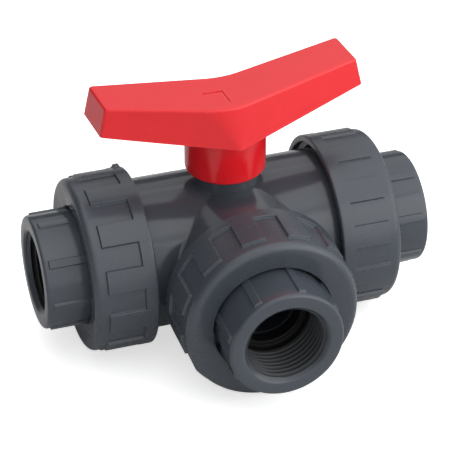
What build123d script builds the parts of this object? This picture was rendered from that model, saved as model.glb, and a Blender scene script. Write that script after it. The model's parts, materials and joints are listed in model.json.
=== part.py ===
from build123d import *
import math
import os

# Three way union ball valve, in millimetres.
# The pieces are drawn about the ball's centre: the run lies along X, the branch points to -Y and the stem
# to +Z. They are moved on export, so that the origin is the centre of the branch port's mouth.

# Driving dimensions of the pipework
TUBE_R = 30.35          # run tube of the body
BRANCH_TUBE_R = 30.0
CREASE_R = 2.0          # fillet where the branch leaves the run
BODY_THREAD_R = 31.0    # crest of the thread that the union nuts engage
RUN_END = 52.0          # ball centre to each end face of the run tube
BRANCH_END = 49.2       # ball centre to the end face of the branch tube
CONNECTOR_LENGTH = 27.6  # body end face to the mouth of a port
PORT_R = 15.145         # minor radius of the G1 pipe thread
THREAD_DEPTH = 20.0

# Ball and its chamber
BALL_R = 22.5
PASSAGE_R = 12.5
CHAMBER_R = 23.2
BALL_CLEARANCE = 0.05   # ball to seat
BALL_TOP = 21.2         # flat that carries the stem's slot
SLOT_BOTTOM = 16.8
SLOT_WIDTH = 7.0

# Seats and their carriers
SEAT_R = 15.2
SEAT_BACK = 21.0
CUSHION_BACK = 22.8
NOSE_R = 17.0
NOSE_TIP = 17.4
CARRIER_START = 25.9
CARRIER_R = 23.5
CARRIER_BORE_R = 23.6

# Stem
STEM_R = 8.0
STEM_BORE_R = 8.05
FLANGE_R = 10.0
FLANGE_BOTTOM = 21.3
FLANGE_TOP = 24.4
WASHER_TOP = 25.4
SQUARE = 11.2
SQUARE_TOP = 52.0
STEM_SEALS = {"lower": 28.0, "upper": 31.4}
NECK_R = 13.0
NECK_TOP = 34.9

# Handle
HANDLE_TURN = 4.0       # degrees about Z at rest
HUB_R = 16.15
HUB_BOTTOM = 35.2
HUB_TOP = 62.0
HUB_ROUND = 1.3         # rounding of the hub's lower edge
WING_TOP = 76.3
WING_DEEP = 58.7        # lower edge at the nose of the wing
WING_TIP_LOW = 65.2     # lower edge beyond the ends of the wing
WING_TIP_X = 57.0
WING_NOSE_X = -4.5      # the nose stands off the stem's axis
WALL = 2.6

# Union nut, measured from the end face of the body's tube
NUT_INNER = -13.9
NUT_OUTER = 11.7
NUT_DISH = 0.9          # the outer face sinks by this much towards the hole
NUT_ROUND = 2.8         # rounding of the outer edge
NUT_FLANGE = 6.4
NUT_HIGH_R = 35.9
NUT_LOW_R = 34.8
NUT_THREAD_R = 31.3
NUT_MOUTH_R = 33.3
NUT_HOLE_R = 23.9
TEETH = 12
TOOTH_END = 5.4         # plain rim beside the teeth, at either end of the nut

# End connector
COLLAR_OUTER_R = 30.0
COLLAR_THICK = 6.2
BARREL_R = 22.8
RIB_R = 23.6
RIB_WIDTH = 3.2
RIBS = 8
RIB_GAP = 2.4           # ribs stop this far from the port's mouth
INNER_BORE_R = 13.2

# Direction of each port about Z, its end face, and how its nut's teeth and its connector's ribs are turned
PORTS = {
    "left": {"turn": 180, "end": RUN_END, "tube": TUBE_R, "teeth": 20, "ribs": 39.5},
    "right": {"turn": 0, "end": RUN_END, "tube": TUBE_R, "teeth": 10, "ribs": 24.5},
    "branch": {"turn": -90, "end": BRANCH_END, "tube": BRANCH_TUBE_R, "teeth": 11, "ribs": 29.5},
}
SEAT_TURNS = {"left": 180, "right": 0, "branch": -90, "back": 90}


def turned(*points):
    """A solid of revolution about X, from its outline as (x, radius) points."""
    outline = make_face(Polyline(*points, close=True))
    return revolve(outline, Axis.X)


def rod(radius, start, end):
    """A cylinder along X."""
    return turned((start, 0), (end, 0), (end, radius), (start, radius))


def upright(radius, bottom, top):
    """A cylinder along Z about the stem's axis."""
    return Pos(0, 0, bottom) * Cylinder(radius, top - bottom, align=(Align.CENTER, Align.CENTER, Align.MIN))


def o_ring(mean_r, section_r):
    return Torus(mean_r, section_r)


def along_x(solid, x):
    """A ring drawn flat about Z, stood up about X at x."""
    return Pos(x, 0, 0) * Rot(0, 90, 0) * solid


def port_places():
    return [(name, Rot(0, 0, p["turn"]), p) for name, p in PORTS.items()]


# Body

def thread_stretch(end, tube_r):
    """The end of one arm of the body, with the thread that its union nut engages."""
    relief = end + NUT_INNER + 2.6
    root_r = tube_r - 0.5
    return turned(
        (relief - 1, 0), (end, 0), (end, root_r), (end - 1, BODY_THREAD_R), (relief + 1.5, BODY_THREAD_R),
        (relief + 1, root_r), (relief, root_r), (relief, tube_r), (relief - 1, tube_r),
    )


def tee():
    """Run and branch tubes with a fillet in the crease between them, and the stem's neck."""
    straight = RUN_END + NUT_INNER + 2
    tubes = rod(TUBE_R, -straight, straight)
    tubes += Rot(0, 0, -90) * rod(BRANCH_TUBE_R, 0, BRANCH_END + NUT_INNER + 2)
    crease = tubes.edges().filter_by(lambda e: e.geom_type not in (GeomType.CIRCLE, GeomType.LINE))
    tubes = fillet(crease, CREASE_R)
    return tubes + upright(NECK_R, 0, NECK_TOP)


def arm_bore(end):
    """The hollow of one arm: the carrier's bore, and the groove of the union's face seal."""
    hole = rod(CARRIER_BORE_R, CARRIER_START - 0.3, end + 1)
    groove = turned((end - 2.3, 25.5), (end + 1, 25.5), (end + 1, 28.3), (end - 2.3, 28.3))
    return hole + groove


def chamber():
    """The ball's chamber, open along the branch so that the ball goes in that way."""
    hollow = Sphere(CHAMBER_R)
    hollow += Rot(0, 0, -90) * rod(CHAMBER_R - 0.2, 0, CARRIER_START)
    hollow += rod(NOSE_R + 0.3, -CARRIER_START, CARRIER_START)
    hollow += Rot(0, 0, 90) * rod(SEAT_R + 0.05, 0, CUSHION_BACK)
    hollow += upright(FLANGE_R + 0.4, 0, WASHER_TOP + 0.1)
    hollow += upright(STEM_BORE_R, 0, NECK_TOP + 1)
    return hollow


def valve_body():
    body = tee()
    for _, place, port in port_places():
        body += place * thread_stretch(port["end"], port["tube"])
    body -= chamber()
    for _, place, port in port_places():
        body -= place * arm_bore(port["end"])
    return body


# Ball, seats and carriers

def ball():
    """The ball: its passage turns from the left port to the branch, and its slot takes the stem's tongue."""
    solid = Sphere(BALL_R)
    solid -= Pos(0, 0, BALL_TOP) * Box(60, 60, 10, align=(Align.CENTER, Align.CENTER, Align.MIN))
    solid -= Sphere(PASSAGE_R)
    for turn in (180, -90):
        solid -= Rot(0, 0, turn) * rod(PASSAGE_R, 0, BALL_R + 1)
    solid -= Pos(0, 0, SLOT_BOTTOM) * Box(60, SLOT_WIDTH, 10, align=(Align.CENTER, Align.CENTER, Align.MIN))
    return solid


def ball_seat():
    """A ring whose inner face is hollowed to the ball."""
    hollow_r = BALL_R + BALL_CLEARANCE
    bottom = Vector(math.sqrt(hollow_r**2 - PASSAGE_R**2), PASSAGE_R)
    top = Vector(math.sqrt(hollow_r**2 - SEAT_R**2), SEAT_R)
    middle = (bottom + top).normalized() * hollow_r
    back = Polyline(bottom, (SEAT_BACK, PASSAGE_R), (SEAT_BACK, SEAT_R), top)
    outline = make_face(back.edges() + [ThreePointArc(top, middle, bottom)])
    return revolve(outline, Axis.X)


def seat_cushion():
    section_r = 0.85
    return along_x(o_ring(14.2, section_r), SEAT_BACK + section_r + 0.05)


def seal_carrier(end):
    """Carrier for a seat: a nose round the seat, an O-ring groove and a slotted outer face."""
    outer = end - 0.2
    groove = CARRIER_START + 2.6
    groove_end = groove + 2.8
    solid = turned(
        (NOSE_TIP, SEAT_R + 0.05), (CUSHION_BACK, SEAT_R + 0.05), (CUSHION_BACK, PASSAGE_R),
        (outer, PASSAGE_R), (outer, CARRIER_R), (groove_end, CARRIER_R), (groove_end, 21), (groove, 21),
        (groove, CARRIER_R), (CARRIER_START, CARRIER_R), (CARRIER_START, NOSE_R), (NOSE_TIP, NOSE_R),
    )
    key_slot = Pos(outer, 0, 0) * Box(8, 60, 5)
    return solid - key_slot


def carrier_o_ring():
    return along_x(o_ring(22.25, 1.2), CARRIER_START + 4)


def union_o_ring(end):
    return along_x(o_ring(26.9, 1.1), end - 1.15)


# Ends and union nuts

def end_connector(end, rib_turn):
    """Ribbed end with a collar that the union nut pulls against the body."""
    mouth = end + CONNECTOR_LENGTH
    lead = 0.4
    step = mouth - THREAD_DEPTH - 2
    back = end + COLLAR_THICK
    solid = turned(
        (end, INNER_BORE_R), (step, INNER_BORE_R), (step + 2, PORT_R), (mouth - lead, PORT_R),
        (mouth, PORT_R + lead), (mouth, BARREL_R - 0.6), (mouth - 0.6, BARREL_R), (back, BARREL_R),
        (back, COLLAR_OUTER_R), (end + 0.6, COLLAR_OUTER_R), (end, COLLAR_OUTER_R - 0.6),
    )
    rib_length = CONNECTOR_LENGTH - COLLAR_THICK - RIB_GAP
    rib = Pos(back, 0, BARREL_R - 1) * Box(
        rib_length, RIB_WIDTH, 1 + RIB_R - BARREL_R, align=(Align.MIN, Align.CENTER, Align.MIN)
    )
    for i in range(RIBS):
        angle = rib_turn + i * 360 / RIBS
        solid += Rot(angle - 90, 0, 0) * rib
    return solid


def nut_blank(end):
    """The nut without its teeth: a high rim at the body's side and a well rounded outer edge."""
    inner = end + NUT_INNER
    outer = end + NUT_OUTER
    seat = end + NUT_FLANGE
    corners = [
        (inner, NUT_MOUTH_R), (inner, NUT_HIGH_R), (inner + TOOTH_END, NUT_HIGH_R),
        (inner + TOOTH_END, NUT_LOW_R), (outer, NUT_LOW_R), (outer - NUT_DISH, NUT_HOLE_R),
        (seat, NUT_HOLE_R), (seat, NUT_THREAD_R), (inner + 3.2, NUT_THREAD_R), (inner + 3.2, NUT_MOUTH_R),
    ]
    radii = [0, 0.8, 0.3, 0.2, NUT_ROUND, 0.5, 0, 0, 0, 0]
    outline = make_face(FilletPolyline(*corners, radius=radii, close=True))
    return revolve(outline, Axis.X)


def nut_tooth(end):
    """One tooth of the grip: a block that runs outwards from the high rim."""
    start = end + NUT_INNER + TOOTH_END - 0.5
    stop = end + NUT_OUTER - TOOTH_END
    section = make_face(Polyline(
        (start, NUT_LOW_R - 2), (stop + 0.2, NUT_LOW_R - 2), (stop, NUT_HIGH_R), (start, NUT_HIGH_R),
        close=True,
    ))
    arc = 180 / TEETH
    return Rot(-arc / 2, 0, 0) * revolve(section, Axis.X, arc)


def union_nut(end, tooth_turn):
    nut = nut_blank(end)
    tooth = nut_tooth(end)
    for i in range(TEETH):
        nut += Rot(tooth_turn + i * 360 / TEETH, 0, 0) * tooth
    return nut


# Stem and handle

def stem():
    """Tongue in the ball's slot, retaining flange, sealed shank and the square that the handle grips."""
    tongue = Pos(0, 0, SLOT_BOTTOM + 0.1) * Box(
        14, SLOT_WIDTH - 0.2, FLANGE_BOTTOM - SLOT_BOTTOM, align=(Align.CENTER, Align.CENTER, Align.MIN)
    )
    solid = tongue + upright(FLANGE_R, FLANGE_BOTTOM, FLANGE_TOP) + upright(STEM_R, FLANGE_TOP, HUB_BOTTOM)
    solid += Pos(0, 0, HUB_BOTTOM) * Box(
        SQUARE, SQUARE, SQUARE_TOP - HUB_BOTTOM, align=(Align.CENTER, Align.CENTER, Align.MIN)
    )
    for z in STEM_SEALS.values():
        solid -= upright(STEM_R + 1, z - 1, z + 1) - upright(STEM_R - 1.7, z - 1, z + 1)
    return solid


def stem_washer():
    return upright(FLANGE_R - 0.1, FLANGE_TOP, WASHER_TOP) - upright(STEM_R + 0.1, FLANGE_TOP, WASHER_TOP)


def wing_outline(tip_x, tip_rear, tip_front, waist, nose, nose_round, inset):
    """Plan of the chevron wing, seen from above, drawn inwards by inset."""
    corner = 1.5
    rear = [(tip_x - inset, tip_rear - inset), (-2, waist - inset), (inset - tip_x, tip_rear - inset)]
    front = [
        (inset - tip_x, tip_front + inset), (nose[0], nose[1] + inset), (tip_x - inset, tip_front + inset)
    ]
    radii = [corner, 30, corner, corner, nose_round, corner]
    return make_face(FilletPolyline(*(rear + front), radius=radii, close=True))


def wing(inset, bottom, top):
    """The wing between two heights, tapering upwards to its flat top."""
    low = Pos(0, 0, bottom) * wing_outline(56.0, 11.7, -9.6, -2.4, (WING_NOSE_X, -28.4), 2.0, inset)
    high = Pos(0, 0, top) * wing_outline(52.0, 11.4, -8.2, -1.4, (-8.9, -27.3), 28.0, inset)
    return loft([low, high], ruled=True)


def under_wing():
    """Everything below the wing's lower edge, which rises from the nose to both ends."""
    side = make_face(Polyline(
        (-WING_TIP_X, 0), (WING_TIP_X, 0), (WING_TIP_X, WING_TIP_LOW), (WING_NOSE_X, WING_DEEP),
        (-WING_TIP_X, WING_TIP_LOW), close=True,
    ))
    return extrude(Plane.XZ * side, 60, both=True)


def handle():
    """Chevron wing, hollow from below, on a round hub with a square socket."""
    shell = wing(0, WING_DEEP - 1, WING_TOP) - under_wing()
    shell = fillet(shell.faces().sort_by(Axis.Z)[-1].edges(), 1.2)
    shell -= wing(WALL, WING_DEEP - 2, WING_TOP - 3)
    hub = upright(HUB_R, HUB_BOTTOM, HUB_TOP)
    hub = fillet(hub.edges().sort_by(Axis.Z)[0], HUB_ROUND)
    solid = shell + hub
    solid += upright(HUB_R, HUB_TOP - 1, WING_TOP - 1) & wing(0.5, WING_DEEP - 1, WING_TOP - 0.5)
    socket = Pos(0, 0, HUB_BOTTOM - 1) * Box(
        SQUARE + 0.1, SQUARE + 0.1, SQUARE_TOP - HUB_BOTTOM + 1.3,
        align=(Align.CENTER, Align.CENTER, Align.MIN),
    )
    return solid - socket


def assembly():
    """Every piece in its place about the ball's centre, by node name."""
    turn = Rot(0, 0, HANDLE_TURN)
    pieces = {
        "valve_body": valve_body(),
        "ball": turn * ball(),
        "stem": turn * stem(),
        "stem_washer": stem_washer(),
        "handle": turn * handle(),
    }
    for name, z in STEM_SEALS.items():
        pieces[f"stem_o_ring_{name}"] = Pos(0, 0, z) * o_ring(7.15, 0.84)
    for name, angle in SEAT_TURNS.items():
        pieces[f"ball_seat_{name}"] = Rot(0, 0, angle) * ball_seat()
        pieces[f"seat_cushion_{name}"] = Rot(0, 0, angle) * seat_cushion()
    for name, place, port in port_places():
        end = port["end"]
        pieces[f"seal_carrier_{name}"] = place * seal_carrier(end)
        pieces[f"carrier_o_ring_{name}"] = place * carrier_o_ring()
        pieces[f"union_o_ring_{name}"] = place * union_o_ring(end)
        pieces[f"end_connector_{name}"] = place * end_connector(end, port["ribs"])
        pieces[f"union_nut_{name}"] = place * union_nut(end, port["teeth"])
    return pieces


os.makedirs("parts", exist_ok=True)
to_branch_mouth = Pos(0, BRANCH_END + CONNECTOR_LENGTH, 0)
for node, piece in assembly().items():
    export_step(to_branch_mouth * piece, f"parts/{node}.step")
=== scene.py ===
"""Three way union ball valve: the visual model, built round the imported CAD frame. Units are metres."""
import json
import math

import bmesh
import bpy
from mathutils import Matrix, Vector


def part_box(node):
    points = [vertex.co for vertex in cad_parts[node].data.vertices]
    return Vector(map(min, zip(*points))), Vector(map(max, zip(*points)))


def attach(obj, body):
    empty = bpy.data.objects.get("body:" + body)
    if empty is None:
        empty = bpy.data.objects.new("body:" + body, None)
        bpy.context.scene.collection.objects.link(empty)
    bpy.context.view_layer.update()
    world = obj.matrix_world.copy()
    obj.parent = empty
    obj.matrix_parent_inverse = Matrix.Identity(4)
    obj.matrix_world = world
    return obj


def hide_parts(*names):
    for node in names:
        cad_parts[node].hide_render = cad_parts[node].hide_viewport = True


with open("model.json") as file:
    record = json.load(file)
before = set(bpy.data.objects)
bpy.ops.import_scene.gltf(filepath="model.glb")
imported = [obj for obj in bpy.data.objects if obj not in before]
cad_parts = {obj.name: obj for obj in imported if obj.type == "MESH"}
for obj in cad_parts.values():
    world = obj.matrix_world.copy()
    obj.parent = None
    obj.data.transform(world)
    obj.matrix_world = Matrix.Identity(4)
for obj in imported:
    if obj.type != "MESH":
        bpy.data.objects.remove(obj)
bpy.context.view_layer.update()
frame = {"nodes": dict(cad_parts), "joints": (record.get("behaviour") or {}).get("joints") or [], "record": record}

MM = 0.001
JOINTS = {joint["name"]: joint for joint in frame["joints"]}
BALL_CENTRE = Vector(JOINTS["handle_turn"]["pos_m"])
PORTS = {mount["name"].replace("_port", ""): mount for mount in frame["record"]["mounts"]}

# Camera
AZIMUTH = math.radians(-18.03)
ELEVATION = math.radians(34.07)
CAMERA_DISTANCE = 0.8677
LENS = 170.5
SHIFT = (0.0020, 0.0258)

# Union nut, in millimetres along and about the port's axis
NUT_LOW_R = 34.8        # between the teeth
NUT_MOUTH_R = 33.3
NUT_CREST_R = 31.3      # crests of its thread, just clear of the body's
NUT_ROOT_R = 32.5
NUT_PITCH = 3.0
NUT_RIM = 5.4           # plain stretch at either end of the teeth
NUT_WEB = 4.4           # thickness of the flange that pulls on the connector's collar
NUT_HOLE_R = 23.9
NUT_DISH = 0.9          # the outer face sinks towards the hole
NUT_ROUND = 2.8
NUT_REAR_ROUND = 0.8    # rounding of the rim that faces the body
NUT_HOLE_ROUND = 0.6
TEETH = 12
TOOTH_SOFT = 0.26       # half width of the teeth's sloping sides
TOOTH_CENTRE = {"left": 20, "right": 10, "branch": 11}
NUB_HEIGHT = {"left": 1.3, "right": 0, "branch": 0}     # moulding nub on the high rim
NUB_ANGLE = 118
NUB_PLACE = 2.3         # from the nut's rear face to the nub
NUB_HALF_LENGTH = 1.4
NUB_HALF_ANGLE = 2.6
EDGE_RISE = 0.2         # half length of the sloping ends of teeth and ribs
EDGE_STEP = 0.0667      # between stations along those slopes

# End connector
BARREL_R = 22.8
RIB_R = 23.6
RIB_WIDTH = 3.2
RIBS = 8
RIB_SOFT = 0.24         # half width of the ribs' sloping sides
RIB_CENTRE = {"left": 39.5, "right": 24.5, "branch": 29.5}
RIB_GAP = 2.4           # from the ribs' ends to the mouth
COLLAR_THICK = 6.2
BORE_R = 13.2
MOUTH_ROUND = 1.3       # rounding of the barrel's outer end
RELIEF = 0.35           # plain stretch behind the thread, wider than its crests by this
G1_PITCH = 2.309        # G1 pipe thread
G1_CREST_R = 15.145
G1_ROOT_R = 16.62
THREAD_END = 18.6       # depth of the thread's last turn
RIM_DEPTH = 22.0        # depth of the step down to the bore
MOUTH_R = 17.4

# Flow mark engraved in the handle: the L of the ball's passage
MARK_POINTS = ((-14.0, -11.2), (-6.3, -12.0), (-6.3, -20.5))
MARK_WIDTH = 0.9
MARK_DEPTH = 0.35
HANDLE_TURN = 4.0       # degrees that the handle stands off the run

# Handle
EDGE_ROUND = 0.45
EDGE_ANGLE = 38         # sharper edges than this are rounded, in degrees

# Studio light
SKY_TOWARDS = (0.60, -0.72, 0.50)
SKY_DIM = 0.10
SKY_BRIGHT = 1.20
FLOOR_SIZE = 6
FLOOR_GAP = 0.0001      # below the nuts
BOUNCE_GAP = 0.0004
PANELS = (
    # name, direction from the valve, distance, width, height, radiance
    ("right", (1.0, -0.9, 0.6), 0.8, 0.8, 0.7, 1.1),
    ("overhead", (0.1, 0.1, 1.0), 2.0, 3.0, 3.0, 0.55),
    ("back", (0.15, 1.0, 0.65), 2.0, 2.2, 1.0, 0.6),
)


# Mesh helpers

def mesh_object(name, verts, faces):
    mesh = bpy.data.meshes.new(name)
    mesh.from_pydata(verts, [], faces)
    obj = bpy.data.objects.new(name, mesh)
    bpy.context.scene.collection.objects.link(obj)
    return obj


def finish_mesh(obj, sharp=35):
    """Outward normals, and smooth shading that keeps edges sharper than the angle."""
    mesh = obj.data
    bm = bmesh.new()
    bm.from_mesh(mesh)
    bmesh.ops.recalc_face_normals(bm, faces=bm.faces)
    bm.to_mesh(mesh)
    bm.free()
    mesh.shade_smooth()
    mesh.set_sharp_from_angle(angle=math.radians(sharp))


def port_matrix(name):
    """Carries millimetres drawn along +X from the ball's centre onto the port of that name."""
    axis = Vector(PORTS[name]["axis"])
    turn = Matrix.Rotation(math.atan2(axis.y, axis.x), 4, "Z")
    return Matrix.Translation(BALL_CENTRE) @ turn @ Matrix.Scale(MM, 4)


def port_extent(name, node):
    """How far out along its port's axis a node starts and stops, in millimetres from the ball's centre."""
    axis = Vector(PORTS[name]["axis"])
    ends = sorted((corner - BALL_CENTRE).dot(axis) / MM for corner in map(Vector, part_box(node)))
    return ends[0], ends[1]


def ring(name, port, stations, angles, shade=None):
    """A closed ring about the port's axis. Each station is an x and either a radius or radius(x, angle).

    shade(x, r) is how much painted shade darkens the bore there, 0 to 1, kept on the mesh for the material.
    """
    matrix = port_matrix(port)
    verts = []
    for x, radius in stations:
        for a in angles:
            r = radius(x, a) if callable(radius) else radius
            verts.append(matrix @ Vector((x, r * math.cos(a), r * math.sin(a))))
    n, m = len(stations), len(angles)
    faces = [
        (i * m + j, (i + 1) % n * m + j, (i + 1) % n * m + (j + 1) % m, i * m + (j + 1) % m)
        for i in range(n) for j in range(m)
    ]
    obj = mesh_object(name, verts, faces)
    if shade:
        inverse = matrix.inverted()
        values = obj.data.attributes.new("bore_shade", "FLOAT", "POINT").data
        for value, vert in zip(values, verts):
            x, y, z = inverse @ vert
            value.value = shade(x, math.hypot(y, z))
    finish_mesh(obj)
    return obj


def arc(x, r, radius, start, stop, steps=5):
    """Stations round a corner, with the arc's centre at (x, r) and its angles in degrees."""
    turns = [math.radians(start + (stop - start) * k / steps) for k in range(steps + 1)]
    return [(x + radius * math.cos(t), r + radius * math.sin(t)) for t in turns]


def spread(start, stop, step):
    """Evenly spaced values between two ends, both left out."""
    count = max(1, round(abs(stop - start) / step))
    return [start + (stop - start) * k / count for k in range(1, count)]


def soft_step(t, half):
    """0 below -half, 1 above half, and a smooth rise between."""
    t = min(1, max(0, (t + half) / (2 * half)))
    return t * t * (3 - 2 * t)


def block_angles(count, centre, half_width, soft, fill):
    """Angles round a ring with count blocks on it: close together at the blocks' edges."""
    pitch = 2 * math.pi / count
    close = [k / 3 * soft for k in range(-3, 4)]
    angles = []
    for i in range(count):
        middle = math.radians(centre) + i * pitch
        angles += [middle - half_width + c for c in close]
        angles += [middle + a for a in spread(-half_width + soft, half_width - soft, fill)]
        angles += [middle + half_width + c for c in close]
        angles += [middle + a for a in spread(half_width + soft, pitch - half_width - soft, fill)]
    return angles


def block_height(a, count, centre, half_width, soft):
    """1 on the blocks, 0 between them."""
    pitch = 2 * math.pi / count
    off = (a - math.radians(centre) + pitch / 2) % pitch - pitch / 2
    return soft_step(half_width - abs(off), soft)


def edge_stations(x):
    """Stations close together on either side of a sloping end."""
    return [x + k * EDGE_STEP for k in range(-3, 4)]


def thread_height(x, a, pitch):
    """Rounded thread: 0 at the crests, 1 at the roots."""
    return 0.5 - 0.5 * math.cos(2 * math.pi * (x / pitch - a / (2 * math.pi)))


# Pieces

def union_nut(port):
    node = f"union_nut_{port}"
    start, stop = port_extent(port, node)
    high = max(abs(corner[2]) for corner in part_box(node)) / MM
    seat = stop - NUT_DISH - NUT_WEB
    centre = TOOTH_CENTRE[port]
    nub_angle = math.radians(NUB_ANGLE)
    half_width = math.radians(90 / TEETH)
    soft = TOOTH_SOFT / NUT_LOW_R
    teeth_start = start + NUT_RIM
    teeth_stop = stop - NUT_RIM

    def grip(x, a):
        tooth = block_height(a, TEETH, centre, half_width, soft) * soft_step(teeth_stop - x, EDGE_RISE)
        rim = soft_step(teeth_start - x, EDGE_RISE)
        nub = soft_step(NUB_HALF_LENGTH - abs(x - start - NUB_PLACE), 0.6)
        nub *= soft_step(math.radians(NUB_HALF_ANGLE) - abs(a - nub_angle), 0.02)
        return NUT_LOW_R + (high - NUT_LOW_R) * max(rim, tooth) + NUB_HEIGHT[port] * nub

    def thread(x, a):
        fade = soft_step(x - start - 4.6, 1.2) * soft_step(seat - 2.4 - x, 1.2)
        return NUT_CREST_R + (NUT_ROOT_R - NUT_CREST_R) * fade * thread_height(x, a, NUT_PITCH)

    rear = start + NUT_REAR_ROUND
    edges = edge_stations(teeth_start) + edge_stations(teeth_stop)
    plain = [x for x in spread(rear, stop - NUT_ROUND, 0.6) if min(abs(x - e) for e in edges) > 0.3]
    stations = arc(rear, high - NUT_REAR_ROUND, NUT_REAR_ROUND, 180, 90)
    stations += [(x, grip) for x in sorted(edges + plain)]
    stations += arc(stop - NUT_ROUND, NUT_LOW_R - NUT_ROUND, NUT_ROUND, 90, 0, 9)
    stations += [(stop - NUT_DISH * k / 5, NUT_LOW_R - NUT_ROUND - 0.5 - 7.2 * k / 5) for k in range(1, 6)]
    hole_edge = stop - NUT_DISH - NUT_HOLE_ROUND
    stations += arc(hole_edge, NUT_HOLE_R + NUT_HOLE_ROUND, NUT_HOLE_ROUND, -10, -90, 4)
    stations += [(seat + 0.3, NUT_HOLE_R), (seat, NUT_HOLE_R + 0.3), (seat, NUT_CREST_R)]
    stations += [(x, thread) for x in reversed(spread(start + 3.2, seat, NUT_PITCH / 10))]
    stations += [(start + 3.4, NUT_CREST_R + 0.1)]
    stations += [(start + 3.0, NUT_MOUTH_R - 0.3), (start + 2.7, NUT_MOUTH_R)]
    stations += [(start + 0.3, NUT_MOUTH_R), (start, NUT_MOUTH_R + 0.3)]
    angles = block_angles(TEETH, centre, half_width, soft, math.radians(1.8))
    angles = sorted(a % (2 * math.pi) for a in angles + [nub_angle + k * 0.0113 for k in range(-6, 7)])
    obj = ring(f"nut_{port}", port, stations, angles)
    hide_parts(node)
    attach(obj, f"{port}_nut")
    obj.data.materials.append(MATERIALS["pvc_nut"])


def end_connector(port):
    node = f"end_connector_{port}"
    start, mouth = port_extent(port, node)
    centre = RIB_CENTRE[port]
    half_width = RIB_WIDTH / 2 / RIB_R
    soft = RIB_SOFT / RIB_R
    back = start + COLLAR_THICK
    collar = max(corner[2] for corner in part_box(node)) / MM
    rib_stop = mouth - RIB_GAP

    def barrel(x, a):
        rib = block_height(a, RIBS, centre, half_width, soft) * soft_step(rib_stop - x, EDGE_RISE)
        return BARREL_R + (RIB_R - BARREL_R) * rib

    def thread(x, a):
        depth = mouth - x
        fade = soft_step(THREAD_END - depth, 1.0)
        cut = G1_CREST_R + RELIEF * (1 - fade)
        cut += (G1_ROOT_R - G1_CREST_R) * fade * thread_height(x, a, G1_PITCH)
        return max(cut, MOUTH_R - depth)

    # painted shade: 0 outside the mouth, rising over the first 3 mm of depth, full past the thread's end, darker
    # at the thread's roots than at its crests
    def shade(x, r):
        depth = mouth - x
        if r > MOUTH_R:
            return 0
        if depth >= THREAD_END:
            return 1
        turned = min(1, max(0, (r - G1_CREST_R) / (G1_ROOT_R - G1_CREST_R)))
        return min(1, depth / 3) * (0.62 + 0.38 * turned)

    rim = mouth - RIM_DEPTH
    rib_edge = edge_stations(rib_stop)
    stations = [(start, BORE_R + 0.2), (start, collar - 0.6), (start + 0.6, collar)]
    stations += [(back - 0.3, collar), (back, collar - 0.3), (back, RIB_R + 0.4), (back + 0.2, barrel)]
    stations += [(x, barrel) for x in spread(back + 0.2, rib_edge[0], 1.5) + rib_edge]
    stations += arc(mouth - MOUTH_ROUND, BARREL_R - MOUTH_ROUND, MOUTH_ROUND, 90, 0, 6)
    stations += [(mouth, MOUTH_R + 1.8), (mouth, MOUTH_R + 0.25), (mouth - 0.07, MOUTH_R + 0.07)]
    stations += [(x, thread) for x in spread(mouth, rim + 1.4, G1_PITCH / 12)]
    stations += [(rim + 1.2, G1_CREST_R + RELIEF), (rim + 0.25, G1_CREST_R), (rim, G1_CREST_R - 0.25)]
    stations += [(rim, BORE_R + 0.3), (rim - 0.3, BORE_R), (start + 0.2, BORE_R)]
    angles = block_angles(RIBS, centre, half_width, soft, math.radians(2.5))
    obj = ring(f"connector_{port}", port, stations, angles, shade)
    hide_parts(node)
    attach(obj, "body")
    obj.data.materials.append(MATERIALS["pvc_body"])


def mark_cutter():
    """The L of the flow mark as a prism through the handle's top face."""
    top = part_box("handle")[1][2] / MM
    turn = Matrix.Rotation(math.radians(HANDLE_TURN), 4, "Z")
    half = MARK_WIDTH / 2
    (x0, y0), (x1, y1), (x2, y2) = MARK_POINTS
    plan = [
        (x0, y0 + half), (x1 + half, y1 + half), (x2 + half, y2),
        (x2 - half, y2), (x1 - half, y1 - half), (x0, y0 - half),
    ]
    verts = []
    for z in (top - MARK_DEPTH, top + 1):
        for x, y in plan:
            verts.append(BALL_CENTRE + turn @ Vector((x, y, 0)) * MM + Vector((0, 0, z * MM)))
    n = len(plan)
    faces = [tuple(range(n))[::-1], tuple(range(n, 2 * n))]
    faces += [(i, (i + 1) % n, n + (i + 1) % n, n + i) for i in range(n)]
    obj = mesh_object("mark_cutter", verts, faces)
    finish_mesh(obj)
    return obj


def welded_copy(name, node):
    """The CAD shape as one welded mesh of its own, ready for finer work."""
    mesh = frame["nodes"][node].data.copy()
    mesh.name = name
    mesh.materials.clear()
    obj = bpy.data.objects.new(name, mesh)
    bpy.context.scene.collection.objects.link(obj)
    bm = bmesh.new()
    bm.from_mesh(mesh)
    bmesh.ops.remove_doubles(bm, verts=bm.verts, dist=1e-6)
    bmesh.ops.dissolve_limit(bm, angle_limit=math.radians(0.4), verts=bm.verts, edges=bm.edges)
    bm.to_mesh(mesh)
    bm.free()
    return obj


def apply_modifiers(obj):
    depsgraph = bpy.context.evaluated_depsgraph_get()
    mesh = bpy.data.meshes.new_from_object(obj.evaluated_get(depsgraph))
    obj.modifiers.clear()
    obj.data = mesh


def handle():
    obj = welded_copy("handle_wing", "handle")
    cutter = mark_cutter()
    cut = obj.modifiers.new("mark", "BOOLEAN")
    cut.operation = "DIFFERENCE"
    cut.solver = "EXACT"
    cut.object = cutter
    apply_modifiers(obj)
    bpy.data.objects.remove(cutter)
    edge = obj.modifiers.new("edge", "BEVEL")
    edge.width = EDGE_ROUND * MM
    edge.segments = 3
    edge.limit_method = "ANGLE"
    edge.angle_limit = math.radians(EDGE_ANGLE)
    apply_modifiers(obj)
    finish_mesh(obj, 40)
    flat = obj.modifiers.new("flat", "WEIGHTED_NORMAL")
    flat.mode = "FACE_AREA"
    flat.weight = 100
    flat.keep_sharp = True
    apply_modifiers(obj)
    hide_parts("handle")
    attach(obj, "rotor")
    obj.data.materials.append(MATERIALS["handle_red"])


# Materials

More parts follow.
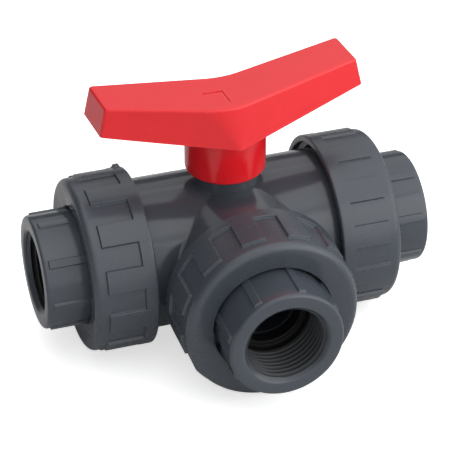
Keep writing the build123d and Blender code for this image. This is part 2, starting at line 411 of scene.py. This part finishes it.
class Tree:
    """Short way to add nodes to a material and join them."""

    def __init__(self, name):
        self.material = bpy.data.materials.new(name)
        self.material.use_nodes = True
        self.nodes = self.material.node_tree.nodes
        self.links = self.material.node_tree.links
        self.shader = self.nodes["Principled BSDF"]

    def add(self, kind, values=(), **settings):
        node = self.nodes.new("ShaderNode" + kind)
        for key, value in settings.items():
            setattr(node, key, value)
        for key, value in dict(values).items():
            if isinstance(value, bpy.types.NodeSocket):
                self.links.new(value, node.inputs[key])
            else:
                node.inputs[key].default_value = value
        return node


WAVINESS = 0.12         # shallow sink marks that break up the reflections
# near-black colour painted into bores and thread roots as shade
BORE_SHADE_COLOUR = (0.001, 0.001, 0.001, 1)


def plastic(name, colour, roughness, grain=900, grain_depth=0.1, wear=0.35, worn=None):
    """Moulded plastic: faint flow marks, handling smears in the gloss, fine grain, rubbed edges and painted shade
    in bores and thread roots.
    """
    tree = Tree(name)
    place = tree.add("TexCoord").outputs["Object"]
    flow = tree.add("TexNoise", {"Vector": place, "Scale": 38, "Detail": 4, "Distortion": 0.6}).outputs["Fac"]
    speck = tree.add("TexNoise", {"Vector": place, "Scale": 420, "Detail": 3}).outputs["Fac"]
    smear = tree.add("TexNoise", {"Vector": place, "Scale": 85, "Detail": 6, "Roughness": 0.62}).outputs["Fac"]
    fine = tree.add("TexNoise", {"Vector": place, "Scale": grain, "Detail": 2}).outputs["Fac"]
    tone = tree.add("Mix", {"Factor": flow}, data_type="RGBA")
    tone.inputs["A"].default_value = (*[c * 0.92 for c in colour], 1)
    tone.inputs["B"].default_value = (*[c * 1.08 for c in colour], 1)
    dust = tree.add("MapRange", {"Value": speck, "From Min": 0.62, "From Max": 0.78, "To Max": 0.10})
    dusty = tree.add("Mix", {"Factor": dust.outputs["Result"], "A": tone.outputs["Result"]}, data_type="RGBA")
    pale = worn or [min(1, c * 1.7 + 0.02) for c in colour]
    dusty.inputs["B"].default_value = (*pale, 1)
    # Rubbed edges: where the rounded normal leaves the true one
    normal = tree.add("NewGeometry").outputs["Normal"]
    bevel = tree.add("Bevel", {"Radius": 0.0007}, samples=4).outputs["Normal"]
    turn = tree.add("VectorMath", {0: normal, 1: bevel}, operation="DOT_PRODUCT").outputs["Value"]
    edge = tree.add("MapRange", {"Value": turn, "From Min": 0.995, "From Max": 0.90, "To Max": wear})
    broken = tree.add("MapRange", {"Value": smear, "From Min": 0.38, "From Max": 0.62})
    rubbed = tree.add("Math", {0: edge.outputs["Result"], 1: broken.outputs["Result"]}, operation="MULTIPLY")
    final = tree.add("Mix", {"Factor": rubbed.outputs["Value"], "A": dusty.outputs["Result"]}, data_type="RGBA")
    final.inputs["B"].default_value = (*pale, 1)
    # Painted shade: bore_shade darkens bores and thread roots to near black and dulls their gloss
    painted_bore_shade = tree.add("Attribute", attribute_name="bore_shade").outputs["Fac"]
    depth = tree.add("MapRange", {"Value": painted_bore_shade, "To Max": 0.97}).outputs["Result"]
    final = tree.add("Mix", {"Factor": depth, "A": final.outputs["Result"]}, data_type="RGBA")
    final.inputs["B"].default_value = BORE_SHADE_COLOUR
    matte = tree.add("MapRange", {"Value": painted_bore_shade, "To Max": 0.45}).outputs["Result"]
    gloss = tree.add("MapRange", {"Value": smear, "From Min": 0.3, "From Max": 0.7})
    gloss.inputs["To Min"].default_value = roughness * 0.78
    gloss.inputs["To Max"].default_value = roughness * 1.22
    rough = tree.add("MapRange", {"Value": rubbed.outputs["Value"], "To Min": 0, "To Max": 0.35})
    total = tree.add("Math", {0: gloss.outputs["Result"], 1: rough.outputs["Result"]}, operation="ADD")
    wave = tree.add("TexNoise", {"Vector": place, "Scale": 110, "Detail": 1}).outputs["Fac"]
    sink = tree.add("Bump", {"Height": wave, "Strength": WAVINESS, "Distance": 0.0008}).outputs["Normal"]
    relief = tree.add("Bump", {"Height": fine, "Strength": grain_depth, "Distance": 0.0001, "Normal": sink})
    total = tree.add("Math", {0: total.outputs["Value"], 1: matte}, operation="ADD")
    tree.links.new(final.outputs["Result"], tree.shader.inputs["Base Color"])
    tree.links.new(total.outputs["Value"], tree.shader.inputs["Roughness"])
    tree.links.new(relief.outputs["Normal"], tree.shader.inputs["Normal"])
    return tree.material


MATERIALS = {
    "pvc_body": plastic("pvc_body", (0.056, 0.066, 0.081), 0.17, 900, 0.05),
    "pvc_nut": plastic("pvc_nut", (0.056, 0.066, 0.081), 0.27, 1000, 0.12),
    "pvc_inner": plastic("pvc_inner", (0.022, 0.025, 0.03), 0.4, 1300, 0.06, wear=0.2),
    "handle_red": plastic("handle_red", (0.78, 0.014, 0.021), 0.19, 1100, 0.08, 0.3, (0.95, 0.12, 0.13)),
    "seat_polymer": plastic("seat_polymer", (0.80, 0.80, 0.77), 0.45, 1500, 0.08, 0.1),
    "elastomer": plastic("elastomer", (0.018, 0.018, 0.019), 0.6, 1800, 0.2, 0.1),
}


def dress_cad_nodes():
    for part in frame["record"]["subparts"]:
        obj = frame["nodes"][part["node"]]
        obj.data.materials.clear()
        obj.data.materials.append(MATERIALS[part["material_slot"]])


# Stage

def area_light(name, towards, distance, size, power):
    light = bpy.data.lights.new(name, "AREA")
    light.shape = "RECTANGLE"
    light.size, light.size_y = size
    light.energy = power
    obj = bpy.data.objects.new(name, light)
    bpy.context.scene.collection.objects.link(obj)
    direction = Vector(towards).normalized()
    obj.location = BALL_CENTRE + direction * distance
    obj.rotation_euler = direction.to_track_quat("Z", "Y").to_euler()


def floor_plane(name, level, albedo, glow):
    bpy.ops.mesh.primitive_plane_add(size=FLOOR_SIZE, location=(0, 0, level))
    floor = bpy.context.object
    floor.name = name
    tree = Tree(name)
    tree.shader.inputs["Base Color"].default_value = (albedo, albedo, albedo, 1)
    tree.shader.inputs["Roughness"].default_value = 0.9
    tree.shader.inputs["Emission Color"].default_value = (1, 1, 1, 1)
    tree.shader.inputs["Emission Strength"].default_value = glow
    floor.data.materials.append(tree.material)
    return floor


def build_floor():
    """A pale floor with faint shadows, and a plain one under it that only the valve's plastic sees."""
    low = min(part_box(f"union_nut_{name}")[0][2] for name in PORTS)
    seen = floor_plane("floor", low - FLOOR_GAP, albedo=0.93, glow=0.6)
    seen.visible_diffuse = False
    seen.visible_glossy = False
    bounce = floor_plane("floor_bounce", low - BOUNCE_GAP, albedo=0.68, glow=0.0)
    bounce.visible_camera = False
    bounce.visible_shadow = False


def build_light():
    """A sky that is brightest up in front to the right, and large dim panels that keep reflections soft."""
    world = bpy.data.worlds.new("studio")
    world.use_nodes = True
    nodes, links = world.node_tree.nodes, world.node_tree.links
    where = nodes.new("ShaderNodeTexCoord")
    facing = nodes.new("ShaderNodeVectorMath")
    facing.operation = "DOT_PRODUCT"
    facing.inputs[1].default_value = Vector(SKY_TOWARDS).normalized()
    ramp = nodes.new("ShaderNodeMapRange")
    ramp.interpolation_type = "SMOOTHSTEP"
    ramp.inputs["From Min"].default_value = -0.45
    ramp.inputs["From Max"].default_value = 0.95
    ramp.inputs["To Min"].default_value = SKY_DIM
    ramp.inputs["To Max"].default_value = SKY_BRIGHT
    nodes["Background"].inputs["Color"].default_value = (1, 1, 1, 1)
    links.new(where.outputs["Generated"], facing.inputs[0])
    links.new(facing.outputs["Value"], ramp.inputs["Value"])
    links.new(ramp.outputs["Result"], nodes["Background"].inputs["Strength"])
    bpy.context.scene.world = world
    for name, towards, distance, width, height, radiance in PANELS:
        area_light(name, towards, distance, (width, height), radiance * math.pi * width * height)


def build_camera():
    back = Vector((
        math.sin(AZIMUTH) * math.cos(ELEVATION),
        -math.cos(AZIMUTH) * math.cos(ELEVATION),
        math.sin(ELEVATION),
    ))
    data = bpy.data.cameras.new("camera")
    data.sensor_width = 36
    data.lens = LENS
    data.shift_x, data.shift_y = SHIFT
    camera = bpy.data.objects.new("camera", data)
    bpy.context.scene.collection.objects.link(camera)
    camera.location = BALL_CENTRE + back * CAMERA_DISTANCE
    camera.rotation_euler = back.to_track_quat("Z", "Y").to_euler()
    bpy.context.scene.camera = camera


dress_cad_nodes()
for port_name in PORTS:
    union_nut(port_name)
    end_connector(port_name)
handle()
build_floor()
build_light()
build_camera()
bpy.context.scene.view_settings.view_transform = "Standard"
